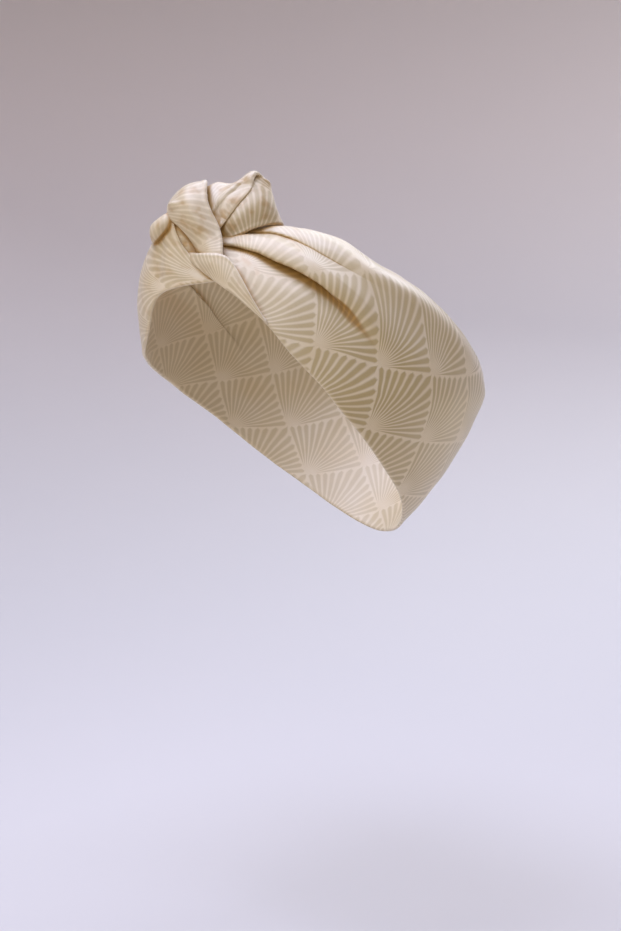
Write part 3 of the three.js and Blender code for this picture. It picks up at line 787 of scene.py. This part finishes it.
core_mesh.uv_layers.new(name="cloth").data.foreach_set("uv", core_uv[corner_ids].astype(np.float32).ravel())
core_mesh.polygons.foreach_set("use_smooth", np.ones(len(core_mesh.polygons), bool))
core_mesh.materials.append(cloth_finish)
core = bpy.data.objects.new("knot_core_cloth", core_mesh)
bpy.context.collection.objects.link(core)
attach(core, "root")
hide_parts("knot_core")

# Knot strap. The length of the same doubled cloth that crosses the front of the knot, goes over its top and
# down behind, and holds the other layers. Its lower end tucks under the cuff.
KNOT_THICK = 1.2
KNOT_SHOWN = 0.72
# Share of the painted shade in warm clouds on the knot's pieces
KNOT_GATHER_SHADE = 0.6
# Columns, each as across, up, out (mm): end of the turned-under layer, its middle, the tuck, left fold,
# crest, right edge
STRAP_STATIONS = [
    [-12, -20, 12.5, -7.5, -20, 15.2, -2, -20, 15.2, -5, -20, 17.2, 0.5, -20.3, 24, 7.4, -20.6, 24.5],
    [-15.5, -16.3, 11.5, -9.5, -16.5, 14.2, -3, -16.6, 14.2]
    + [-5.8, -16.3, 16.3, 0.3, -16.5, 22.5, 7.3, -17.1, 23],
    [-17.5, -9.5, 9.3, -13, -9.3, 11.9, -7.5, -9, 12.4, -10.4, -8.8, 14.5, -2.5, -9.3, 20, 6.8, -10.1, 19],
    [-19.5, -3.8, 7.6, -17, -3, 9.4, -12.5, -2.5, 10.4, -15.5, -2.5, 12.6, -6.3, -2, 20, 4.8, -2.8, 16.5],
    [-21.5, 0.2, 4.5, -20.5, 1, 6.2, -18, 2.2, 7, -21, 2.6, 8.8, -10.5, 5, 18.5, 0.8, 5, 15],
    [-20.5, 6, -1, -21, 6.8, 0.5, -19.5, 8, 2, -22.3, 8.5, 4, -12.5, 12, 14.5, -1.3, 12, 12.5],
    [-17.5, 9, -5, -19.5, 10.3, -4, -19, 11.2, -3, -21, 12, -1.5, -12.5, 18.6, 5.5, -1.8, 20.8, 6],
    [-14, 9, -9, -16, 10, -9.5, -16.5, 11, -9.6, -17.5, 11.5, -10, -11, 17.3, -7, -3.5, 19.3, -5],
    [-10.5, 3.5, -13, -12, 4, -14, -13, 4.6, -14.6, -13.5, 5, -15, -8, 8, -15.5, -3, 11, -13],
    [-8, -4.5, -12.5, -9, -4.4, -13.4, -9.6, -4.2, -13.7, -10, -4, -14, -5, -3, -15.5, 1, -1, -13],
    [-5, -10, -8, -6, -10, -8.5, -6.6, -10, -8.8, -7, -10, -9, -2, -9.5, -10, 3, -8, -9],
]


def through_points(columns, t):
    """Point across a station of several points: the same cubic as along the rows, with t from 0 to 1
    running evenly from the first point to the last."""
    count = columns.shape[-1] // 3
    points = np.moveaxis(columns.reshape(columns.shape[:-1] + (count, 3)), -2, 0)
    points = np.concatenate([[2 * points[0] - points[1]], points, [2 * points[-1] - points[-2]]])
    i = np.clip(np.floor(t * (count - 1)).astype(int), 0, count - 2)
    a, b, c, d = (np.take_along_axis(points, i[None, ..., None] + k, axis=0)[0] for k in range(4))
    return smooth_between(a, b, c, d, (t * (count - 1) - i)[..., None])


def knot_cloth(stations, rows, lines, corner, lift, turn_deg, unevenness):
    """Middle surface of a knot piece and its cloth plane: the table's stations joined smoothly, with
    lengths along and across it as the plane. A fan's corner lies below the row and place given, by the
    lift, and the plane is turned so that the fan opens the right way."""
    s, t = grid_lines(stations, rows, lines)
    middle = knot_place(through_points(through_rows(stations, s), t))
    x, y = run_length(middle, 0), run_length(middle, 1)
    at = (nearest(s[:, 0], corner[0]), nearest(t[0], corner[1]))
    plane = turned(x - x[at], y - y[at] + lift, turn_deg)
    return s, t, crumpled(middle, plane, unevenness), plane


s, t, strap_middle, strap_plane = knot_cloth(
    STRAP_STATIONS, rows=180, lines=72, corner=(4.8, 0.62), lift=9.0, turn_deg=-15.0, unevenness=0.35
)
# A dimple in the strap's face: its depth (mm), and its middle and width in rows and across
DIMPLE_DEPTH = 2.6
DIMPLE_ALONG = (4.6, 0.22)
DIMPLE_ACROSS = (0.69, 0.035)
dimple = DIMPLE_DEPTH * bell(s, *DIMPLE_ALONG) * bell(t, *DIMPLE_ACROSS)
strap_middle = strap_middle - face_normals(strap_middle) * dimple[..., None]
# The turned-under layer, which lies under the strap's face, takes more painted shade, up to these places
# across and these rows along
TURNED_UNDER_SHADE = 0.35
TURNED_UNDER_PLACES = (0.36, 0.5)
TURNED_UNDER_ROWS = (4.5, 5.5)
strap_under_shade = TURNED_UNDER_SHADE * soft_fall(*TURNED_UNDER_PLACES, t) * soft_fall(*TURNED_UNDER_ROWS, s)
strap = cloth_piece(
    "knot_strap_cloth",
    strap_middle,
    KNOT_THICK,
    strap_plane,
    hem_swell=0.6,
    shown=KNOT_SHOWN,
    gathered=KNOT_GATHER_SHADE + strap_under_shade,
    finish=cloth_finish,
)
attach(strap, "root")
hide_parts("knot_strap")

# Knot loop. The rounded bow of the knot, of the same doubled cloth: the strip comes out behind the strap,
# turns round at the right and goes back into the knot behind. It stands by its own stiffness.
# Columns: as the strap's stations, lower edge first
LOOP_STATIONS = [
    [2, -9, 8, 2.5, -4, 9, 3, 0, 9],
    [8.3, -9.8, 11, 8.5, -2, 12, 9.5, 5, 10],
    [14.5, -8, 12, 15, 2.5, 12.5, 15.8, 12.3, 7.8],
    [21.5, -4.3, 10.8, 21.3, 7, 11, 20.2, 17.9, 5.7],
    [26.5, -2.4, 8.4, 26, 9.3, 9, 21.5, 22.5, 1.9],
    [30.6, -1.5, 5.4, 29.2, 10, 6, 23.5, 24.8, -0.9],
    [36, -0.8, -1, 32.5, 9.5, 0, 29.0, 22.4, -2.0],
    [35.5, -1.3, -7, 32, 8.5, -7.5, 28.2, 18.5, -7],
    [28, -2, -11.5, 25.5, 6.5, -13, 22, 15, -11],
    [18, -3, -12.5, 16.5, 5, -14, 14, 13.5, -12],
    [8, -4, -11, 7, 3, -12.5, 5, 11, -11],
]
# The loop takes more painted shade at its root, under the strap, and along its lower edge
LOOP_ROOT_SHADE = 0.3
LOOP_ROOT_ROWS = (0.8, 2.4)
LOOP_EDGE_SHADE = 0.2
LOOP_EDGE_PLACES = (0.0, 0.3)
s, t, loop_middle, loop_plane = knot_cloth(
    LOOP_STATIONS, rows=170, lines=50, corner=(2.7, 0.0), lift=13.0, turn_deg=0.0, unevenness=0.35
)
loop_shade = KNOT_GATHER_SHADE + LOOP_ROOT_SHADE * soft_fall(*LOOP_ROOT_ROWS, s)
loop_shade = loop_shade + LOOP_EDGE_SHADE * soft_fall(*LOOP_EDGE_PLACES, t)
loop = cloth_piece(
    "knot_loop_cloth",
    loop_middle,
    KNOT_THICK,
    loop_plane,
    hem_swell=0.5,
    shown=KNOT_SHOWN,
    gathered=loop_shade,
    finish=cloth_finish,
)
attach(loop, "root")
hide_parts("knot_loop")

# Knot flap. The upper leaf of the bow, of the same doubled cloth, folded over the loop from behind so that
# its edge lies as a lip across the loop's face and hooks at the tip. It comes out from under the strap.
# Columns: as the strap's stations, back edge first
FLAP_STATIONS = [
    [0, -3, 11, 1.5, -3.5, 12, 3, -4, 12.6, 4.3, -4.3, 13.2, 5.5, -3.9, 13.5],
    [-4, 10, 4, 0, 6, 10, 4.5, 4, 12, 6.8, 3.4, 13.2, 10.1, 2.4, 13.5],
    [-4, 19, -4, -1, 16, 4, 4, 11.5, 8.8, 9.5, 11.2, 11.4, 15.1, 9.2, 11.5],
    [0, 17, -9, 2.5, 21, -1.5, 6.5, 17.3, 4.5, 12.5, 17.6, 7, 20.1, 16.1, 9],
    [7, 14, -10, 9, 20, -4, 13, 20.8, 0.5, 17, 21.5, 5.6, 21.6, 19.6, 6.5],
    [13, 15, -10, 15, 21, -5, 18.5, 25.2, 0, 20.4, 24.4, 4, 22.3, 22.4, 4],
    [17, 16, -9, 19, 22.5, -4, 22.3, 26, 0.3, 23, 25.6, 1.6, 23.6, 24.4, 1.4],
    [22, 14, -9, 25, 19.5, -5.5, 27.2, 22.6, -2, 27, 22.4, -2.6, 26.2, 22, -3.2],
]
LEAF_SHOWN = 0.7 * KNOT_SHOWN
# The folded strip along the flap's lip: its fold line as row position and place across, the rows where it
# sets in and runs out, its rise (mm) and the places off the line where that starts and ends, and the depth
# (mm), place and width of the groove along it
FLAP_FOLD_ROWS = [0.35, 0.9, 1.4, 1.9, 2.85, 3.55, 4.4]
FLAP_FOLD_PLACES = [0.125, 0.288, 0.425, 0.562, 0.725, 0.712, 0.62]
FLAP_FOLD_SETS_IN = (0.2, 0.8)
FLAP_FOLD_RUNS_OUT = (3.6, 4.6)
FLAP_FOLD_RISE = 1.1
FLAP_FOLD_EDGE = (-0.01, 0.07)
FLAP_FOLD_GROOVE = 0.35
FLAP_GROOVE_PLACE = (-0.015, 0.035)
# The flap takes more painted shade at its root, where it comes out from under the strap
FLAP_ROOT_SHADE = 0.3
FLAP_ROOT_ROWS = (0.4, 1.8)
s, t, flap_middle, flap_plane = knot_cloth(
    FLAP_STATIONS, rows=120, lines=60, corner=(0.4, 0.6), lift=0.0, turn_deg=90.0, unevenness=0.25
)
off_line = t - np.interp(s, FLAP_FOLD_ROWS, FLAP_FOLD_PLACES)
folded = soft_step(*FLAP_FOLD_SETS_IN, s) * soft_fall(*FLAP_FOLD_RUNS_OUT, s)
strip = FLAP_FOLD_RISE * soft_step(*FLAP_FOLD_EDGE, off_line)
strip = strip - FLAP_FOLD_GROOVE * bell(off_line, *FLAP_GROOVE_PLACE)
flap_middle = flap_middle + face_normals(flap_middle) * (folded * strip)[..., None]
flap = cloth_piece(
    "knot_flap_cloth",
    flap_middle,
    KNOT_THICK,
    flap_plane,
    hem_swell=0.35,
    shown=LEAF_SHOWN,
    gathered=KNOT_GATHER_SHADE + FLAP_ROOT_SHADE * soft_fall(*FLAP_ROOT_ROWS, s),
    finish=cloth_finish,
)
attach(flap, "root")
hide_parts("knot_flap")

# Knot roll. The soft puff at the left of the knot, of the same doubled cloth, where the far end of the strip
# rounds over as it goes in behind the strap, which holds it.
# Columns: as the strap's stations, lower edge first
ROLL_STATIONS = [
    [-18.5, -2.5, 2, -18.3, -0.8, 7.2, -18, 2.8, 8.6, -17.5, 6.2, 5.4, -17, 7.5, -3],
    [-22.5, -5.5, 2.5, -22.6, -3.6, 7.6, -22.7, 0.2, 9.2, -22.8, 4, 6.2, -22.2, 5.6, -3],
    [-26.5, -8.5, 1.8, -27, -6.6, 6.6, -27.5, -3, 8.2, -27.6, 0.8, 5.4, -26.8, 3, -3.5],
    [-28.6, -10.5, -1, -30, -8.8, 2.8, -31, -5.6, 4, -31.2, -2.2, 1.8, -30.3, -0.4, -5],
    [-28.6, -12.5, -6, -30, -11.4, -4, -31, -9, -3.4, -31.2, -6.6, -4.2, -30, -5, -8],
]
_, _, roll_middle, roll_plane = knot_cloth(
    ROLL_STATIONS, rows=90, lines=60, corner=(1.5, 0.1), lift=14.0, turn_deg=0.0, unevenness=0.2
)
roll = cloth_piece(
    "knot_roll_cloth",
    roll_middle,
    KNOT_THICK,
    roll_plane,
    hem_swell=0.4,
    shown=LEAF_SHOWN,
    gathered=KNOT_GATHER_SHADE,
    finish=cloth_finish,
)
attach(roll, "root")
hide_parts("knot_roll")

# Shade between the layers. Where cloth lies close over cloth the light goes to and fro between the two and
# comes back warmer, so every piece carries a share of the fold shade there.
pieces = [band, cuff, core, strap, loop, flap, roll]
# How far out from the surface the cloth is felt for, the grid's cell and the blur (mm), rounds of blurring,
# cells left free round the object, and how much cloth there starts and completes the shade
LAYER_REACH = 3.4
LAYER_CELL = 1.5
LAYER_BLUR = 2.3
LAYER_SPREADS = 4
LAYER_MARGIN = 4
LAYER_SHADE = (0.32, 0.85)


def surface_points(piece):
    """Place (mm), outward normal and area (square mm) of each mesh point: a face's area is dealt out evenly
    to its corners."""
    mesh = piece.data
    place = np.zeros(3 * len(mesh.vertices), np.float32)
    normal = np.zeros(3 * len(mesh.vertices), np.float32)
    mesh.vertices.foreach_get("co", place)
    mesh.vertices.foreach_get("normal", normal)
    areas = np.zeros(len(mesh.polygons), np.float32)
    corners = np.zeros(len(mesh.polygons), np.int32)
    mesh.polygons.foreach_get("area", areas)
    mesh.polygons.foreach_get("loop_total", corners)
    points = np.zeros(len(mesh.loops), np.int32)
    mesh.loops.foreach_get("vertex_index", points)
    area = np.bincount(points, np.repeat(areas / corners, corners), len(mesh.vertices))
    return place.reshape(-1, 3) / MM, normal.reshape(-1, 3), area / MM**2


surfaces = [surface_points(piece) for piece in pieces]
every_place = np.concatenate([place for place, _, _ in surfaces])
grid_low = every_place.min(axis=0) - LAYER_MARGIN * LAYER_CELL
grid_cells = np.ceil((every_place.max(axis=0) - grid_low) / LAYER_CELL).astype(int) + LAYER_MARGIN + 1
grid_cells = tuple(grid_cells)


def cells_round(place):
    """The eight grid cells round each place, as flat numbers, with their straight-line shares."""
    at = (place - grid_low) / LAYER_CELL
    base = np.floor(at).astype(int)
    far = at - base
    corners = np.array(list(np.ndindex(2, 2, 2)))
    share = np.prod(np.where(corners[:, None, :], far, 1 - far), axis=-1)
    cell = np.ravel_multi_index(np.moveaxis(base + corners[:, None, :], -1, 0), grid_cells)
    return cell, share


# The cloth's area in each cell, blurred and scaled so that it is 1 in the middle of one flat double cloth
cell, share = cells_round(every_place)
every_area = np.concatenate([area for _, _, area in surfaces])
cloth_near = np.bincount(cell.ravel(), (share * every_area).ravel(), np.prod(grid_cells)).reshape(grid_cells)
for axis in [0, 1, 2] * LAYER_SPREADS:
    cloth_near = (np.roll(cloth_near, 1, axis) + 2 * cloth_near + np.roll(cloth_near, -1, axis)) / 4
cloth_near = cloth_near.ravel() / LAYER_CELL**3 * LAYER_BLUR * np.sqrt(2 * np.pi) / 2
for piece, (place, normal, _) in zip(pieces, surfaces):
    cell, share = cells_round(place + normal * LAYER_REACH)
    felt = np.sum(cloth_near[cell] * share, axis=0)
    point_values(piece.data, "overlaid", soft_step(*LAYER_SHADE, felt))

# Stage. A pale matt sweep of paper: a flat floor that curves up into a wall all round, warmer on the
# camera's side, where it is out of the picture. Soft square lights stand round it, and the camera is level
# with the middle of the object at its near front corner.
FLOOR_PALE = (0.64, 0.63, 0.63, 1)
WALL_PALE = (0.98, 0.86, 0.79, 1)
BOARD_WARM = (0.64, 0.54, 0.38, 1)
# Height and flat radius of the floor, radius of the curve, height of the wall above it and radius of the
# small middle face (m)
FLOOR_Z = -0.31
SWEEP_FLAT = 0.5
SWEEP_CURVE = 2.2
SWEEP_WALL = 1.0
SWEEP_EYE = 0.01
CURVE_LINES = 24
SWEEP_LINES = 96
# Heights over which floor tone goes over to wall tone, direction to the camera's side, and how far out on
# that side the warm tone sets in (m)
WALL_SETS_IN = (FLOOR_Z - 0.2, FLOOR_Z + 1.1)
CAMERA_SIDE = (0.848, -0.53, 0.0)
BOARD_SETS_IN = (0.06, 0.35)
MOTTLE_NOISE = (2.0, 3.0)
MOTTLE_SHARE = 0.1
PAPER_ROUGHNESS = 0.9

bend = np.linspace(0, np.pi / 2, CURVE_LINES)
profile = np.concatenate(
    [
        [[SWEEP_EYE, 0.0], [SWEEP_FLAT / 2, 0.0]],
        np.stack([SWEEP_FLAT + SWEEP_CURVE * np.sin(bend), SWEEP_CURVE * (1 - np.cos(bend))], -1),
        [[SWEEP_FLAT + SWEEP_CURVE, SWEEP_CURVE + SWEEP_WALL]],
    ]
)
lap = np.linspace(0, 2 * np.pi, SWEEP_LINES, endpoint=False)
sweep_points = np.stack(
    [
        profile[:, None, 0] * np.cos(lap)[None, :],
        profile[:, None, 0] * np.sin(lap)[None, :],
        FLOOR_Z + profile[:, None, 1] + 0 * lap[None, :],
    ],
    -1,
)
ids, sweep_faces = ring_faces(len(profile), SWEEP_LINES)
sweep_mesh = bpy.data.meshes.new("pale_sweep")
sweep_mesh.from_pydata(sweep_points.reshape(-1, 3).tolist(), [], sweep_faces.tolist() + [ids[0].tolist()])
sweep_mesh.polygons.foreach_set("use_smooth", np.ones(len(sweep_mesh.polygons), bool))
paper = bpy.data.materials.new("pale_paper")
paper.use_nodes = True
paper_shader = paper.node_tree.nodes["Principled BSDF"]
start = Thread(paper.node_tree, None)
spot = start.node("ShaderNodeTexCoord", {}, {}, 3)
height = spot.coordinate(2)
outward = start.node("ShaderNodeVectorMath", {"operation": "DOT_PRODUCT"}, {0: spot, 1: CAMERA_SIDE}, 1)
tone = (height + spot.noise(*MOTTLE_NOISE) * MOTTLE_SHARE).ramp(*WALL_SETS_IN).blend(FLOOR_PALE, WALL_PALE)
tone = outward.ramp(*BOARD_SETS_IN).blend(tone, BOARD_WARM)
paper.node_tree.links.new(tone.socket, paper_shader.inputs["Base Color"])
paper_shader.inputs["Roughness"].default_value = PAPER_ROUGHNESS
sweep_mesh.materials.append(paper)
sweep = bpy.data.objects.new("pale_sweep", sweep_mesh)
bpy.context.collection.objects.link(sweep)

ROOM_WARM = (1.0, 0.94, 0.82, 1)
ROOM_STRENGTH = 0.03
world = bpy.data.worlds.new("studio")
world.use_nodes = True
world.node_tree.nodes["Background"].inputs["Color"].default_value = ROOM_WARM
world.node_tree.nodes["Background"].inputs["Strength"].default_value = ROOM_STRENGTH
bpy.context.scene.world = world
bpy.context.scene.view_settings.view_transform = "Standard"


def studio_light(name, place, aim, size, power, colour):
    """Square soft light at a place, its face turned to the aim point."""
    lamp = bpy.data.lights.new(name, "AREA")
    lamp.size, lamp.energy, lamp.color = size, power, colour
    holder = bpy.data.objects.new(name, lamp)
    holder.location = place
    holder.rotation_euler = (Vector(aim) - Vector(place)).to_track_quat("-Z", "Y").to_euler()
    holder.visible_camera = False
    bpy.context.collection.objects.link(holder)


# Columns: name, place (m), aim point (m), side (m), power (W), colour
LIGHTS = [
    ("top_soft", (0.05, -0.22, 1.35), (0, 0, 0.03), 1.3, 21.8, (0.96, 1.0, 1.36)),
    ("back_wash", (-0.18, 1.41, 0.9), (-1.86, 1.75, -0.1), 1.2, 6.2, (0.86, 0.97, 1.14)),
    ("back_soft", (-0.5, 0.8, 0.95), (0, 0, 0.03), 1.0, 6.4, (0.97, 1.0, 1.08)),
    ("nape_soft", (0.15, 0.6, -0.25), (0.05, 0.1, -0.08), 0.3, 0.36, (1.0, 0.88, 0.60)),
    ("camera_soft", (0.75, -0.95, 0.75), (0, 0, 0.03), 1.0, 3.8, (0.97, 1.0, 1.06)),
    ("front_soft", (0.0, -1.15, 0.5), (0, 0, 0.03), 1.0, 1.9, (1.08, 0.95, 0.72)),
]
for light in LIGHTS:
    studio_light(*light)

CAMERA_TURN_DEG = 58.0
CAMERA_DROP_DEG = 3.9
CAMERA_PLACE = (0.593, -0.374, 0.007)
CAMERA_FOCUS_PX = 1250.0
FRAME_HEIGHT_PX = 931.0
SENSOR_HEIGHT = 36.0
NEAREST_SEEN = 0.01
camera = bpy.data.cameras.new("camera")
camera.sensor_fit = "VERTICAL"
camera.sensor_height = SENSOR_HEIGHT
camera.lens = CAMERA_FOCUS_PX / FRAME_HEIGHT_PX * SENSOR_HEIGHT
camera.clip_start = NEAREST_SEEN
viewer = bpy.data.objects.new("camera", camera)
viewer.location = CAMERA_PLACE
turn, drop = np.radians(CAMERA_TURN_DEG), np.radians(CAMERA_DROP_DEG)
look = Vector((-np.sin(turn) * np.cos(drop), np.cos(turn) * np.cos(drop), -np.sin(drop)))
viewer.rotation_euler = look.to_track_quat("-Z", "Y").to_euler()
bpy.context.collection.objects.link(viewer)
bpy.context.scene.camera = viewer
